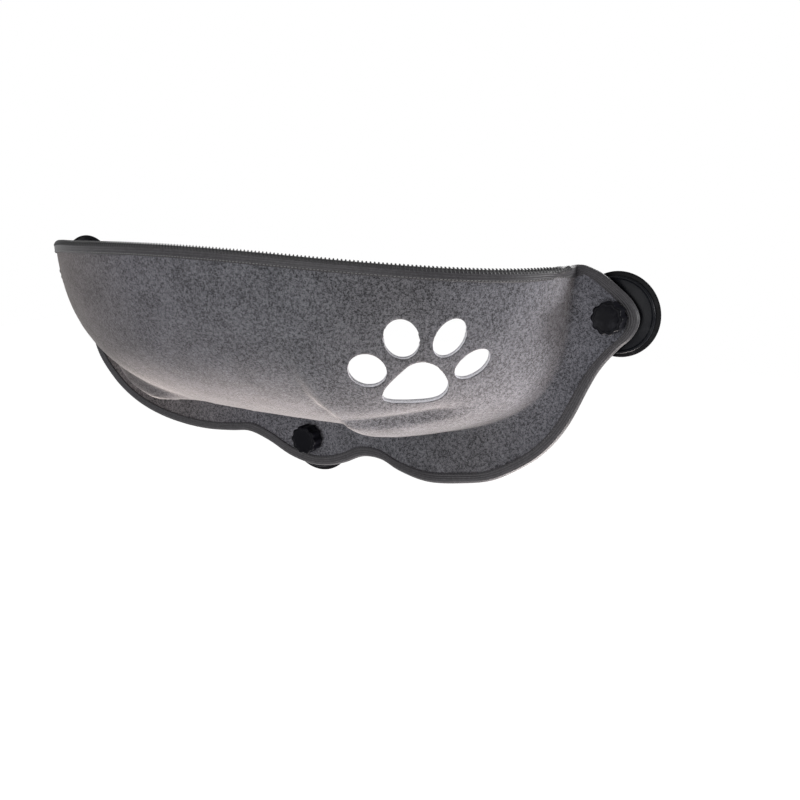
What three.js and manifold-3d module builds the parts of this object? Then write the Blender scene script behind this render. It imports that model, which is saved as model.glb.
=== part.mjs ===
// Window mounted cat perch: a felt hammock held on a window pane by three suction cups.
// Millimetres, +Z up. The glass is the plane y = 0 and the room is at negative y.
// The origin lies on the glass, midway between the axes of the two upper cups.

import * as THREE from 'three';
import { NURBSCurve } from 'three/addons/curves/NURBSCurve.js';
import { mergeVertices, toCreasedNormals } from 'three/addons/utils/BufferGeometryUtils.js';
import Module from 'manifold-3d';

const wasm = await Module();
wasm.setup();

// Where the three cups stand on the glass
const cupSpacing = 598;
const lowerCupDrop = 143;

// Felt sheet, and how far it reaches past the upper studs and below the lower one
const feltThickness = 3.5;
const studHoleRadius = 6.3;
const earReach = 20.5;
const tabReach = 26;

// Pouch: its rim is half an ellipse in plan, and its floor joins the flange along a fold
const rimInset = 29.5;
const rimDepth = 186;
const rimEndAngle = THREE.MathUtils.degToRad(79);
const rimHeight = 41.9;
const rimRise = 13;
const rimRisePower = 4;
const foldInset = 36;
const foldAboveStud = 24;
const foldHeight = 38.5;
const foldSquareness = 3.4;
const foldBend = 13;
const leftCornerDrop = 10;
const floorAngles = [22, 44, 64, 82].map(THREE.MathUtils.degToRad);

// The pouch sags lower on its right, past a pleat beside the middle
const sagDrop = 9;
const sagStartShare = 0.28;
const sagRampShare = 0.074;
const sagCentreShare = 0.36;
const sagReachShare = 0.21;

// The lobes between the cups lean away from the glass
const rightLobeLean = 17;
const leftLobeLean = 2;
const lobeCentreShare = 0.47;
const lobeReachShare = 0.21;
const lobeFadeShare = 0.62;

// Outline of the flange from the left ear's corner, under the lower cup, to the right ear's
// corner, as shares of the reach to the ears' tips and of the height above or below the studs
const outlineShares = [
  [-0.869, 1], [-0.91, 0.95], [-0.956, 0.68], [-1.0, 0.3], [-1.016, -0.024],
  [-0.991, -0.106], [-0.944, -0.2], [-0.907, -0.306], [-0.885, -0.412], [-0.86, -0.524],
  [-0.813, -0.635], [-0.76, -0.722], [-0.692, -0.794], [-0.607, -0.847], [-0.505, -0.879],
  [-0.405, -0.888], [-0.312, -0.876], [-0.24, -0.862], [-0.162, -0.902], [-0.079, -0.971],
  [0, -1], [0.059, -0.991], [0.118, -0.956], [0.184, -0.9], [0.262, -0.891], [0.333, -0.929],
  [0.433, -0.953], [0.536, -0.935], [0.614, -0.906], [0.685, -0.835], [0.74, -0.759],
  [0.785, -0.668], [0.822, -0.565], [0.847, -0.47], [0.872, -0.365], [0.905, -0.25],
  [0.957, -0.132], [0.988, -0.076], [1.002, 0.015], [0.98, 0.33], [0.939, 0.61],
  [0.894, 0.87], [0.847, 1],
];

// Paw cut out of the front panel: each hole's place on the sheet, its size and its tilt
const toes = [
  { alongShare: 0.718, upShare: 0.804, width: 31.5, height: 33.5, tilt: 8 },
  { alongShare: 0.772, upShare: 0.863, width: 28.7, height: 35.5, tilt: 10 },
  { alongShare: 0.828, upShare: 0.841, width: 24, height: 35.7, tilt: -24 },
  { alongShare: 0.837, upShare: 0.737, width: 22.5, height: 33.7, tilt: -40 },
];
const pad = { alongShare: 0.765, upShare: 0.743, width: 53, height: 47 };
// Rounded triangle of the pad: points in shares of its half width and half height
const padShares = [
  [-1, -0.65], [-0.95, -0.86], [-0.77, -0.97], [-0.42, -1], [0.08, -0.99], [0.49, -0.92],
  [0.79, -0.74], [0.97, -0.41], [1, -0.05], [0.89, 0.33], [0.71, 0.68], [0.45, 0.92],
  [0.15, 1], [-0.17, 0.88], [-0.47, 0.52], [-0.75, 0.08], [-0.94, -0.31],
];

// Binding tape folded over the felt's edge
const tapeWidth = 8;
const tapeThickness = 1.4;

// Suction cup of black rubber, moulded round the stud's head
const cupRadius = 36;
const lipHeight = 1.5;
const landWidth = 4.4;
const domeHeight = 3.2;
const domeWaistShare = 0.8;
const domeFloor = 0.9;
const bossWall = 1.35;
const bossRoof = 1.2;
const shoulderWidth = 2.1;
const shoulderDrop = 0.8;

// Rigid cap that presses the cup down
const capInset = 3.7;
const capHeight = 10.25;
const capRimHeight = 5.8;
const capRimWidth = 2.6;
const capDishDepth = 0.9;
const capBossRadius = 8.4;
const capNeckWidth = 3;
const capNeckDrop = 1.55;

// Threaded stud with a flat head
const studRadius = 3;
const studHeadRadius = 8.2;
const studHeadThickness = 1.5;
const studChamfer = 0.8;
const studEngagement = 9.8;

// Eyelet that lines the felt's hole
const eyeletFlangeWidth = 2.9;
const eyeletFlangeThickness = 0.5;

// Washer under the knob
const washerInset = 2.6;
const washerThickness = 1;

// Knob with scalloped sides and its threaded brass insert
const knobRadius = 13.8;
const knobHeight = 14;
const knobLobes = 10;
const lobeDepth = 1.3;
const knobChamfer = 1;
const knobFace = 2.6;
const insertWall = 1.65;
const insertLength = 8;
const insertRecess = 0.6;

// Clearances, and the length by which a cut runs past what it cuts
const seatGap = 0.3;
const slotGap = 0.4;
const boreGap = 0.35;
const overrun = 12;

// Facets
const sheetRows = 8;
const curveSteps = 60;
const lengthSamples = 400;
const roundSegments = 36;
const boreSegments = 18;
const holeDivisions = 6;
const pointsPerLobe = 5;

// Columns of the sheet's grid over one half, closer together round the ear and the lower tab
const columnSpans = [
  { toShare: 0.03, columns: 2 },
  { toShare: 0.12, columns: 8 },
  { toShare: 0.42, columns: 8 },
  { toShare: 0.5, columns: 4 },
];

const cupX = cupSpacing / 2;
const cups = [
  { side: 'left', x: -cupX, z: 0 },
  { side: 'right', x: cupX, z: 0 },
  { side: 'bottom', x: 0, z: -lowerCupDrop },
];
const outlineReach = cupX + earReach;
const outlineDrop = lowerCupDrop + tabReach;
const rimHalfWidth = cupX - rimInset;
const foldHalfWidth = cupX - foldInset;
const foldDepth = foldHeight + lowerCupDrop - foldAboveStud;
const sagStart = sagStartShare * cupX;
const sagRamp = sagRampShare * cupX;
const sagCentre = sagCentreShare * cupX;
const sagReach = sagReachShare * cupX;
const lobeCentre = lobeCentreShare * cupX;
const lobeReach = lobeReachShare * cupX;

// Heights above the glass along a cup's axis, each worked out from the piece below it
const pocketFloor = domeHeight + domeFloor;
const studBottom = pocketFloor + seatGap;
const studHeadTop = studBottom + studHeadThickness;
const pocketRoof = studHeadTop + seatGap;
const cupBossHeight = pocketRoof + bossRoof;
const cupShoulderHeight = cupBossHeight - shoulderDrop;
const eyeletBottom = capHeight + seatGap;
const feltBack = eyeletBottom + eyeletFlangeThickness + seatGap;
const feltStandoff = feltBack + feltThickness / 2;
const feltFront = feltBack + feltThickness;
const eyeletTop = feltFront + seatGap + eyeletFlangeThickness;
const washerBottom = eyeletTop + seatGap;
const knobBottom = washerBottom + washerThickness + seatGap;
const knobTop = knobBottom + knobHeight;
const insertBottom = knobBottom + insertRecess;
const studTip = knobBottom + studEngagement;

// Radii worked out from the stud outward
const boreRadius = studRadius + boreGap;
const pocketRadius = studHeadRadius + boreGap;
const cupBossRadius = pocketRadius + bossWall;
const cupShoulderRadius = cupBossRadius + shoulderWidth;
const capRadius = cupRadius - capInset;
const insertRadius = boreRadius + insertWall;
const washerRadius = knobRadius - washerInset;

const gauss = (distance, reach) => Math.exp(-((distance / reach) ** 2));
const signedPower = (value, power) => Math.sign(value) * Math.abs(value) ** power;
const smoothStep = (value) => THREE.MathUtils.smoothstep(value, 0, 1);

// Height of the rim's left end below its right end, easing in over the left quarter
function cornerDrop(turn) {
  return leftCornerDrop * smoothStep(-turn / rimEndAngle * 2 - 1);
}

// How far a point of the flange leans off the felt's plane
function lean(x, z) {
  const fade = smoothStep(-z / outlineDrop / lobeFadeShare - 0.5);
  const right = rightLobeLean * gauss(x - lobeCentre, lobeReach);
  const left = leftLobeLean * gauss(x + lobeCentre, lobeReach);
  return fade * (right + left);
}

function rimPoint(turn) {
  const rise = rimRise * Math.abs(Math.cos(turn)) ** rimRisePower;
  return new THREE.Vector3(
    rimHalfWidth * Math.sin(turn),
    -feltStandoff - rimDepth * Math.cos(turn),
    rimHeight + rise - cornerDrop(turn),
  );
}

function foldPoint(turn) {
  const share = 2 / foldSquareness;
  const z = foldHeight - cornerDrop(turn) - foldDepth * Math.abs(Math.cos(turn)) ** share;
  return new THREE.Vector3(foldHalfWidth * signedPower(Math.sin(turn), share), -feltStandoff, z);
}

function outlinePoints() {
  return outlineShares.map(([acrossShare, upShare]) => {
    const x = acrossShare * outlineReach;
    const earHeight = foldHeight - (x < 0 ? leftCornerDrop : 0);
    const z = upShare * (upShare > 0 ? earHeight : outlineDrop);
    return new THREE.Vector3(x, -feltStandoff - lean(x, z), z);
  });
}

function curveOver(pointAt, endAngle, steps) {
  const points = [];
  for (let step = 0; step <= steps; step += 1) {
    points.push(pointAt(THREE.MathUtils.lerp(-endAngle, endAngle, step / steps)));
  }
  return new THREE.CatmullRomCurve3(points);
}

const rimCurve = curveOver(rimPoint, rimEndAngle, curveSteps);
const foldCurve = curveOver(foldPoint, Math.PI / 2, curveSteps);
const outlineCurve = new THREE.CatmullRomCurve3(outlinePoints(), false, 'centripetal');
for (const curve of [rimCurve, foldCurve, outlineCurve]) {
  curve.arcLengthDivisions = lengthSamples;
}

// How far the pouch's floor hangs below the fold at x
function sag(x) {
  return sagDrop * smoothStep((x - sagStart) / sagRamp) * gauss(x - sagCentre, sagReach);
}

// Profile of the sheet from the flange's edge, over the fold and the floor, up to the rim
const profileDegree = 3;

function profileAt(along) {
  const edge = outlineCurve.getPointAt(along);
  const fold = foldCurve.getPointAt(along);
  const rim = rimCurve.getPointAt(along);
  fold.z -= sag(fold.x) / 2;
  const middle = edge.clone().lerp(fold, 0.5);
  const backReach = Math.min(foldBend, fold.distanceTo(edge) / 3);
  const back = fold.clone().add(edge.clone().sub(fold).setLength(backReach));
  const outward = new THREE.Vector3(rim.x - fold.x, rim.y - fold.y, 0);
  const forwardReach = Math.min(foldBend, outward.length() / 3);
  const forward = fold.clone().add(outward.clone().setLength(forwardReach));
  const floor = floorAngles.map((angle) => new THREE.Vector3(
    fold.x + (rim.x - fold.x) * Math.sin(angle),
    fold.y + (rim.y - fold.y) * Math.sin(angle),
    fold.z + (rim.z - fold.z) * (1 - Math.cos(angle)) - sag(fold.x) * Math.cos(angle),
  ));
  const points = [edge, middle, back, fold, forward, ...floor, rim];
  const inner = points.length - profileDegree;
  const knots = [0, 0, 0];
  for (let knot = 0; knot <= inner; knot += 1) {
    knots.push(knot / inner);
  }
  knots.push(1, 1, 1);
  const weighted = points.map((point) => new THREE.Vector4(point.x, point.y, point.z, 1));
  return new NURBSCurve(profileDegree, knots, weighted);
}

// Places of the grid's columns as shares of the sheet's length, alike in both halves
function columnPlaces() {
  const half = [];
  let fromShare = 0;
  for (const { toShare, columns } of columnSpans) {
    for (let column = 0; column < columns; column += 1) {
      half.push(THREE.MathUtils.lerp(fromShare, toShare, column / columns));
    }
    fromShare = toShare;
  }
  return [...half, 0.5, ...half.map((place) => 1 - place).reverse()];
}

// Grid of points on the middle of the felt, less a border of the given width all round
function sheetGrid(border) {
  const inset = border / foldCurve.getLength();
  return columnPlaces().map((place) => {
    const profile = profileAt(THREE.MathUtils.lerp(inset, 1 - inset, place));
    const share = border / profile.getLength();
    const start = border ? profile.getUtoTmapping(share) : 0;
    const end = border ? profile.getUtoTmapping(1 - share) : 1;
    const column = [];
    for (let row = 0; row <= sheetRows; row += 1) {
      column.push(profile.getPoint(THREE.MathUtils.lerp(start, end, row / sheetRows)));
    }
    return column;
  });
}

function gridTriangles(grid) {
  const rows = grid[0].length;
  const triangles = [];
  for (let column = 0; column < grid.length - 1; column += 1) {
    for (let row = 0; row < rows - 1; row += 1) {
      const corner = column * rows + row;
      const beside = corner + rows;
      const isRightHalf = column >= (grid.length - 1) / 2;
      if (isRightHalf) {
        triangles.push([corner, beside, corner + 1], [corner + 1, beside, beside + 1]);
      } else {
        triangles.push([corner, beside, beside + 1], [corner, beside + 1, corner + 1]);
      }
    }
  }
  return triangles;
}

function borderLoop(grid) {
  const rows = grid[0].length;
  const columns = grid.length;
  const loop = [];
  for (let column = 0; column < columns; column += 1) loop.push(column * rows);
  for (let row = 1; row < rows; row += 1) loop.push((columns - 1) * rows + row);
  for (let column = columns - 2; column >= 0; column -= 1) loop.push(column * rows + rows - 1);
  for (let row = rows - 2; row > 0; row -= 1) loop.push(row);
  return loop;
}

// Points of a grid with their normals and, round its border, the way out of the sheet
function measured(grid) {
  const points = grid.flat();
  const triangles = gridTriangles(grid);
  const normals = points.map(() => new THREE.Vector3());
  const triangle = new THREE.Triangle();
  const normal = new THREE.Vector3();
  for (const corners of triangles) {
    triangle.set(...corners.map((corner) => points[corner]));
    triangle.getNormal(normal).multiplyScalar(triangle.getArea());
    corners.forEach((corner) => normals[corner].add(normal));
  }
  normals.forEach((vector) => vector.normalize());
  const loop = borderLoop(grid);
  const outward = loop.map((corner, place) => {
    const next = points[loop[(place + 1) % loop.length]];
    const last = points[loop[(place + loop.length - 1) % loop.length]];
    return next.clone().sub(last).normalize().cross(normals[corner]).normalize();
  });
  return { points, triangles, normals, loop, outward };
}

// Closed solid of two like skins, front and back, joined along loops of their vertices
function closedSolid(front, back, triangles, loops) {
  const count = front.length;
  const positions = new Float32Array(count * 6);
  front.forEach((point, index) => point.toArray(positions, index * 3));
  back.forEach((point, index) => point.toArray(positions, (index + count) * 3));
  const faces = [];
  for (const [first, second, third] of triangles) {
    faces.push(first, second, third, first + count, third + count, second + count);
  }
  for (const loop of loops) {
    loop.forEach((corner, place) => {
      const next = loop[(place + 1) % loop.length];
      faces.push(next, corner, corner + count, next, corner + count, next + count);
    });
  }
  return new wasm.Manifold(new wasm.Mesh({
    numProp: 3,
    vertProperties: positions,
    triVerts: new Uint32Array(faces),
  }));
}

// Sheet with half its thickness to each side of the grid, pushed out at its border
function shell(grid, halfThickness, pushOut) {
  const { points, triangles, normals, loop, outward } = measured(grid);
  const spread = points.map((point) => point.clone());
  loop.forEach((corner, place) => spread[corner].addScaledVector(outward[place], pushOut));
  const skin = (offset) => spread.map((point, index) => (
    point.clone().addScaledVector(normals[index], offset)
  ));
  return closedSolid(skin(halfThickness), skin(-halfThickness), triangles, [loop]);
}

// Band as wide as the tape along the border of the sheet
function borderBand(halfThickness, pushOut) {
  const edge = measured(sheetGrid(0));
  const inner = measured(sheetGrid(tapeWidth));
  const count = edge.loop.length;
  const skin = (offset) => [
    ...edge.loop.map((corner, place) => edge.points[corner].clone()
      .addScaledVector(edge.outward[place], pushOut)
      .addScaledVector(edge.normals[corner], offset)),
    ...inner.loop.map((corner) => inner.points[corner].clone()
      .addScaledVector(inner.normals[corner], offset)),
  ];
  const triangles = [];
  for (let place = 0; place < count; place += 1) {
    const next = (place + 1) % count;
    triangles.push([place, next, place + count], [next, next + count, place + count]);
  }
  const outerLoop = Array.from({ length: count }, (_, place) => place);
  const innerLoop = outerLoop.map((place) => place + count).reverse();
  return closedSolid(skin(halfThickness), skin(-halfThickness), triangles, [outerLoop, innerLoop]);
}

function toManifold(geometry) {
  const bare = geometry.clone();
  bare.deleteAttribute('normal');
  bare.deleteAttribute('uv');
  const merged = mergeVertices(bare);
  return new wasm.Manifold(new wasm.Mesh({
    numProp: 3,
    vertProperties: merged.attributes.position.array,
    triVerts: new Uint32Array(merged.index.array),
  }));
}

function toGeometry(solid) {
  const mesh = solid.getMesh();
  const geometry = new THREE.BufferGeometry();
  geometry.setAttribute('position', new THREE.BufferAttribute(mesh.vertProperties, 3));
  geometry.setIndex(new THREE.BufferAttribute(mesh.triVerts, 1));
  return toCreasedNormals(geometry);
}

// Straight plug along z, long enough to pass through the sheet
function plug(shape, segments) {
  const geometry = new THREE.ExtrudeGeometry(shape, {
    depth: overrun * 2, bevelEnabled: false, curveSegments: segments,
  });
  return geometry.translate(0, 0, -overrun);
}

function circle(radius) {
  return new THREE.Shape().absarc(0, 0, radius, 0, Math.PI * 2);
}

function toeShape(toe) {
  const tilt = THREE.MathUtils.degToRad(toe.tilt);
  return new THREE.Shape().absellipse(
    0, 0, toe.width / 2, toe.height / 2, 0, Math.PI * 2, false, tilt,
  );
}

function padShape() {
  const points = padShares.map(([acrossShare, upShare]) => new THREE.Vector2(
    pad.width / 2 * acrossShare, pad.height / 2 * upShare,
  ));
  return new THREE.Shape(points);
}

// Frame at a place on the sheet: z out of the front, x level across it
function frameOnSheet({ alongShare, upShare }) {
  const stepShare = 0.01;
  const here = profileAt(alongShare).getPoint(upShare);
  const above = profileAt(alongShare).getPoint(upShare + stepShare).sub(here);
  const beside = profileAt(alongShare + stepShare).getPoint(upShare).sub(here);
  const normal = beside.cross(above).normalize();
  const across = new THREE.Vector3(0, 0, 1).cross(normal).normalize();
  const up = normal.clone().cross(across);
  return new THREE.Matrix4().makeBasis(across, up, normal).setPosition(here);
}

function feltSolid() {
  let solid = shell(sheetGrid(0), feltThickness / 2, 0);
  for (const cup of cups) {
    const hole = plug(circle(studHoleRadius), holeDivisions).rotateX(Math.PI / 2);
    solid = solid.subtract(toManifold(hole.translate(cup.x, -feltStandoff, cup.z)));
  }
  const cuts = [{ place: pad, shape: padShape() }];
  toes.forEach((toe) => cuts.push({ place: toe, shape: toeShape(toe) }));
  for (const { place, shape } of cuts) {
    const hole = plug(shape, holeDivisions).applyMatrix4(frameOnSheet(place));
    solid = solid.subtract(toManifold(hole));
  }
  return solid;
}

// Tape folded over the edge, as a channel that the felt's edge lies in
function bindingSolid() {
  const slotHalf = feltThickness / 2 + slotGap;
  const band = borderBand(slotHalf + tapeThickness, slotGap + tapeThickness);
  const slot = shell(sheetGrid(0), slotHalf, slotGap);
  return band.subtract(slot).subtract(shell(sheetGrid(0), slotHalf - slotGap / 2, 0));
}

// Lathe about the cup's axis: profile points are [radius, height above the glass]
function turned(profile, segments) {
  const points = profile.map(([radius, height]) => new THREE.Vector2(radius, height));
  return toCreasedNormals(new THREE.LatheGeometry(points, segments).rotateX(Math.PI / 2));
}

function discGeometry() {
  const landInner = cupRadius - landWidth;
  const edgeRound = lipHeight / 3;
  return turned([
    [0, pocketFloor],
    [0, domeHeight],
    [landInner / 2, domeHeight * domeWaistShare],
    [landInner, 0],
    [cupRadius - edgeRound, 0],
    [cupRadius, edgeRound],
    [cupRadius, lipHeight],
    [cupShoulderRadius, cupShoulderHeight],
    [cupBossRadius, cupBossHeight],
    [boreRadius, cupBossHeight],
    [boreRadius, pocketRoof],
    [pocketRadius, pocketRoof],
    [pocketRadius, pocketFloor],
    [0, pocketFloor],
  ], roundSegments);
}

// Height of the rubber's sloping upper side at a radius
function cupSlopeAt(radius) {
  const share = (radius - cupShoulderRadius) / (cupRadius - cupShoulderRadius);
  return THREE.MathUtils.lerp(cupShoulderHeight, lipHeight, share);
}

function capGeometry() {
  const rimRound = capRimWidth / 4;
  const rimInner = capRadius - capRimWidth;
  const dishHeight = capRimHeight - capDishDepth;
  const neckRadius = capBossRadius + capNeckWidth;
  const neckHeight = capHeight - capNeckDrop;
  return turned([
    [boreRadius, cupBossHeight + seatGap],
    [cupBossRadius + seatGap, cupBossHeight + seatGap],
    [cupShoulderRadius + seatGap, cupShoulderHeight + seatGap],
    [capRadius, cupSlopeAt(capRadius) + seatGap],
    [capRadius, capRimHeight - rimRound],
    [capRadius - rimRound, capRimHeight],
    [rimInner + rimRound, capRimHeight],
    [rimInner, dishHeight],
    [(rimInner + neckRadius) / 2, (dishHeight + neckHeight) / 2],
    [neckRadius, neckHeight],
    [capBossRadius, capHeight],
    [boreRadius, capHeight],
    [boreRadius, cupBossHeight + seatGap],
  ], roundSegments);
}

function studGeometry() {
  return turned([
    [0, studBottom],
    [studHeadRadius, studBottom],
    [studHeadRadius, studHeadTop],
    [studRadius, studHeadTop],
    [studRadius, studTip - studChamfer],
    [studRadius - studChamfer, studTip],
    [0, studTip],
  ], boreSegments);
}

function eyeletGeometry() {
  const barrel = studHoleRadius - seatGap;
  const flange = studHoleRadius + eyeletFlangeWidth;
  return turned([
    [boreRadius, eyeletBottom],
    [flange, eyeletBottom],
    [flange, eyeletBottom + eyeletFlangeThickness],
    [barrel, eyeletBottom + eyeletFlangeThickness],
    [barrel, eyeletTop - eyeletFlangeThickness],
    [flange, eyeletTop - eyeletFlangeThickness],
    [flange, eyeletTop],
    [boreRadius, eyeletTop],
    [boreRadius, eyeletBottom],
  ], boreSegments);
}

// Ring about the stud from the bore out to a radius
function ringGeometry(radius, bottom, height) {
  return turned([
    [boreRadius, bottom],
    [radius, bottom],
    [radius, bottom + height],
    [boreRadius, bottom + height],
    [boreRadius, bottom],
  ], boreSegments);
}

const washerGeometry = () => ringGeometry(washerRadius, washerBottom, washerThickness);
const insertGeometry = () => ringGeometry(insertRadius, insertBottom, insertLength);

function knobOutline() {
  const steps = knobLobes * pointsPerLobe;
  const points = [];
  for (let step = 0; step < steps; step += 1) {
    const angle = step / steps * Math.PI * 2;
    const wave = (1 - Math.cos(knobLobes * angle)) / 2;
    const radius = knobRadius - knobChamfer - lobeDepth * wave;
    points.push(new THREE.Vector2(radius * Math.cos(angle), radius * Math.sin(angle)));
  }
  return new THREE.Shape(points);
}

function knobGeometry() {
  const body = new THREE.ExtrudeGeometry(knobOutline(), {
    depth: knobHeight - knobChamfer * 2,
    bevelSize: knobChamfer,
    bevelThickness: knobChamfer,
    bevelSegments: 1,
  }).translate(0, 0, knobBottom + knobChamfer);
  const seatTop = insertBottom + insertLength + seatGap;
  const bore = turned([
    [0, knobBottom - overrun],
    [insertRadius + boreGap, knobBottom - overrun],
    [insertRadius + boreGap, seatTop],
    [boreRadius, seatTop],
    [boreRadius, knobTop - knobFace],
    [0, knobTop - knobFace],
  ], boreSegments);
  return toGeometry(toManifold(body).subtract(toManifold(bore)));
}

function material(color, roughness, metalness) {
  return new THREE.MeshStandardMaterial({ color, roughness, metalness });
}

const rubber = material('#1b1b1e', 0.45, 0);
const capPlastic = material('#222327', 0.3, 0);
const steel = material('#9a9ca0', 0.35, 1);
const blackPlate = material('#3a3a3d', 0.4, 0.9);
const washerPlastic = material('#26262a', 0.5, 0);
const knobPlastic = material('#1e1e23', 0.4, 0);
const brass = material('#b08d4a', 0.35, 1);
const felt = material('#69686c', 0.95, 0);
const tape = material('#3b3a3e', 0.8, 0);

const cupPieces = [
  { name: 'suction_disc', shape: discGeometry, finish: rubber },
  { name: 'pressure_cap', shape: capGeometry, finish: capPlastic },
  { name: 'stud', shape: studGeometry, finish: steel },
  { name: 'eyelet', shape: eyeletGeometry, finish: blackPlate },
  { name: 'washer', shape: washerGeometry, finish: washerPlastic },
  { name: 'knob', shape: knobGeometry, finish: knobPlastic },
  { name: 'knob_insert', shape: insertGeometry, finish: brass },
];

function named(name, geometry, finish) {
  const mesh = new THREE.Mesh(geometry, finish);
  mesh.name = name;
  return mesh;
}

function cupAssembly(cup) {
  const assembly = new THREE.Group();
  for (const piece of cupPieces) {
    assembly.add(named(`${piece.name}_${cup.side}`, piece.shape(), piece.finish));
  }
  assembly.position.set(cup.x, 0, cup.z);
  assembly.rotation.x = Math.PI / 2;
  return assembly;
}

const perch = new THREE.Group();
perch.add(named('felt_sheet', toGeometry(feltSolid()), felt));
perch.add(named('edge_binding', toGeometry(bindingSolid()), tape));
cups.forEach((cup) => perch.add(cupAssembly(cup)));

export default perch;
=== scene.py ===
import bisect
import math

import bmesh
import bpy
from mathutils import Matrix, Vector, noise


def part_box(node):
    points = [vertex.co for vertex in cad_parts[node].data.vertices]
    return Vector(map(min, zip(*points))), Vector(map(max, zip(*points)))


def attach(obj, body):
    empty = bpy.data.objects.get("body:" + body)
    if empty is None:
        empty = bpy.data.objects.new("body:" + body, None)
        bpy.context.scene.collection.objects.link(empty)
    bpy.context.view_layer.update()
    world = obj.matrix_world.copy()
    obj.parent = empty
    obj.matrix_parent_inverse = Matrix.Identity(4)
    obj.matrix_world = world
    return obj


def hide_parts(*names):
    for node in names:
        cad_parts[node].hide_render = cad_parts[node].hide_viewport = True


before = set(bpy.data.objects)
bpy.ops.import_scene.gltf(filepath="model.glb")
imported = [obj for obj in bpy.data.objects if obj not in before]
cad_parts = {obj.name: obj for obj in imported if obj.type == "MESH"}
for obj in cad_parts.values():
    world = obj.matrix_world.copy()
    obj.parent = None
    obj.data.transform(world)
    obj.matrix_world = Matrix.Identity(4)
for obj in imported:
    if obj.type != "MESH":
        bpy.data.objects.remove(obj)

bl_info = {
    "name": "Window mounted cat perch",
    "version": (1, 0, 0),
    "blender": (4, 5, 0),
    "location": "View3D > Sidebar > Perch",
    "description": "Felt hammock with a paw cut-out, held on a window by three suction cups",
    "category": "Object",
}

MM = 0.001
SIDES = ("left", "right", "bottom")


def middle_of(node):
    low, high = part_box(node)
    return (Vector(low) + Vector(high)) / 2


CUPS = {side: middle_of(f"stud_{side}") for side in SIDES}

# Cup spacing and the felt's plane, in millimetres
CUP_X = CUPS["right"].x / MM
CUP_DROP = -CUPS["bottom"].z / MM
FELT = 3.5
STANDOFF = 13.1
STUD_HOLE_RADIUS = 6.3

# Rim, fold and outline of the flange
RIM_HALF = CUP_X - 29.5
RIM_DEPTH = 186
RIM_END = math.radians(79)
RIM_HEIGHT = 41.9
RIM_RISE = 13
RIM_RISE_POWER = 4
RIM_SLACK = 2.4
FOLD_HALF = CUP_X - 36
FOLD_HEIGHT = 38.5
FOLD_DEPTH = FOLD_HEIGHT + CUP_DROP - 24
FOLD_SQUARENESS = 3.4
FOLD_BEND = 13
CORNER_DROP = 10
FLOOR_ANGLES = [math.radians(angle) for angle in (22, 44, 64, 82)]
TAUT_SHARE = 0.03
OUTLINE_REACH = CUP_X + 20.5
OUTLINE_DROP = CUP_DROP + 26
SAG_DROP = 9
SAG_START, SAG_RAMP, SAG_CENTRE, SAG_REACH = (
    share * CUP_X for share in (0.28, 0.074, 0.36, 0.21)
)
LOBE_CENTRE, LOBE_REACH = 0.47 * CUP_X, 0.21 * CUP_X
RIGHT_LEAN, LEFT_LEAN, LEAN_FADE = 17, 2, 0.62

OUTLINE_SHARES = [
    (-0.869, 1), (-0.91, 0.95), (-0.956, 0.68), (-1.0, 0.3), (-1.016, -0.024),
    (-0.991, -0.106), (-0.944, -0.2), (-0.907, -0.306), (-0.885, -0.412), (-0.86, -0.524),
    (-0.813, -0.635), (-0.76, -0.722), (-0.692, -0.794), (-0.607, -0.847), (-0.505, -0.879),
    (-0.405, -0.888), (-0.312, -0.876), (-0.24, -0.862), (-0.162, -0.902), (-0.079, -0.971),
    (0, -1), (0.059, -0.991), (0.118, -0.956), (0.184, -0.9), (0.262, -0.891),
    (0.333, -0.929), (0.433, -0.953), (0.536, -0.935), (0.614, -0.906), (0.685, -0.835),
    (0.74, -0.759), (0.785, -0.668), (0.822, -0.565), (0.847, -0.47), (0.872, -0.365),
    (0.905, -0.25), (0.957, -0.132), (0.988, -0.076), (1.002, 0.015), (0.98, 0.33),
    (0.939, 0.61), (0.894, 0.87), (0.847, 1),
]

# Paw cut-out: each hole's place along and up the sheet, width, height and tilt in degrees
TOES = [
    (0.718, 0.804, 31.5, 33.5, 8), (0.772, 0.863, 28.7, 35.5, 10),
    (0.828, 0.841, 24, 35.7, -24), (0.837, 0.737, 22.5, 33.7, -40),
]
PAD = (0.765, 0.743, 53, 47, 0)
# Rounded triangle of the pad: points in shares of its half width and half height
PAD_SHARES = [
    (-1, -0.65), (-0.95, -0.86), (-0.77, -0.97), (-0.42, -1), (0.08, -0.99), (0.49, -0.92),
    (0.79, -0.74), (0.97, -0.41), (1, -0.05), (0.89, 0.33), (0.71, 0.68), (0.45, 0.92),
    (0.15, 1), (-0.17, 0.88), (-0.47, 0.52), (-0.75, 0.08), (-0.94, -0.31),
]


def smooth_step(value):
    value = min(1.0, max(0.0, value))
    return value * value * (3 - 2 * value)


def bell(distance, reach):
    return math.exp(-((distance / reach) ** 2))


def signed_power(value, power):
    return math.copysign(abs(value) ** power, value)


def corner_drop(turn):
    return CORNER_DROP * smooth_step(-turn / RIM_END * 2 - 1)


def rim_point(turn):
    rise = RIM_RISE * abs(math.cos(turn)) ** RIM_RISE_POWER
    slack = RIM_SLACK * smooth_step((turn / RIM_END - 0.45) / 0.55)
    return Vector((
        RIM_HALF * math.sin(turn),
        -STANDOFF - RIM_DEPTH * math.cos(turn),
        RIM_HEIGHT + rise - corner_drop(turn) - slack,
    ))


def fold_point(turn):
    power = 2 / FOLD_SQUARENESS
    z = FOLD_HEIGHT - corner_drop(turn) - FOLD_DEPTH * abs(math.cos(turn)) ** power
    return Vector((FOLD_HALF * signed_power(math.sin(turn), power), -STANDOFF, z))


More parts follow.
